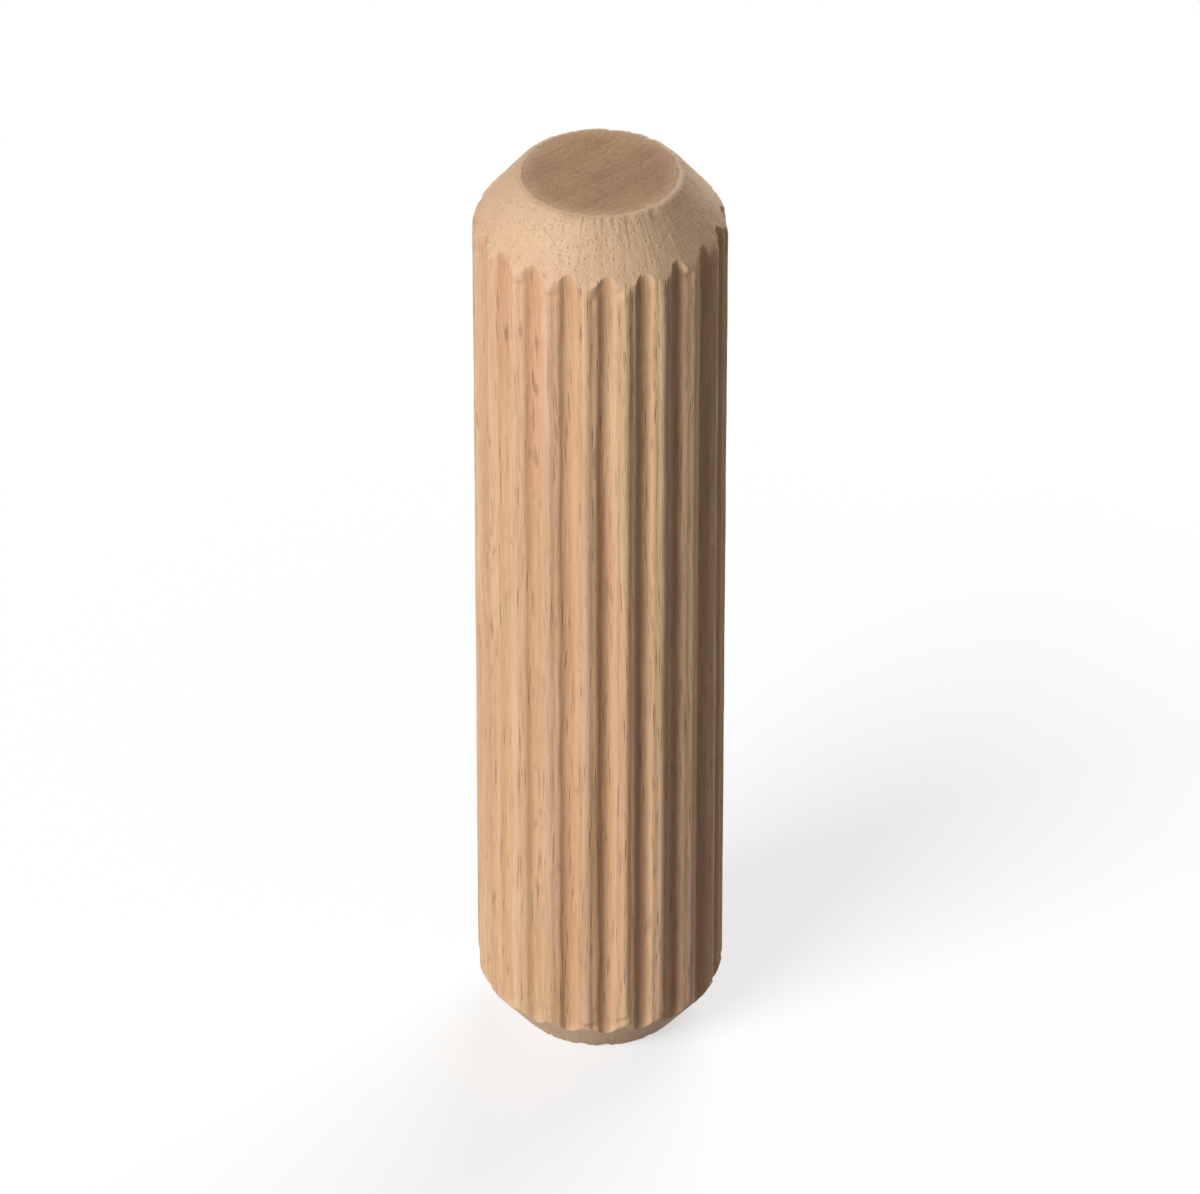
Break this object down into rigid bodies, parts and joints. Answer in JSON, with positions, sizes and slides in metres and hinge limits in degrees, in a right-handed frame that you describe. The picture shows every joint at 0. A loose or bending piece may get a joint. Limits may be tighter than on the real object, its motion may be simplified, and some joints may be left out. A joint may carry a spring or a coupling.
{
  "type": "dowel pin",
  "caption": "Straight round wooden dowel pin for glued furniture joints, with lengthwise flutes round its barrel and a chamfer at each end.",
  "frame": {"origin": "centre of the lower end face, which is what the pin stands on", "axes": "+Z along the pin's axis, up towards its other end; +X and +Y each point at the middle of a ridge between two flutes"},
  "size_m": [0.01, 0.01, 0.04],
  "materials": {
    "beech_wood": "bare, unfinished"
  },
  "bodies": {
    "root": {"dowel_pin": "beech_wood"}
  },
  "joints": []
}
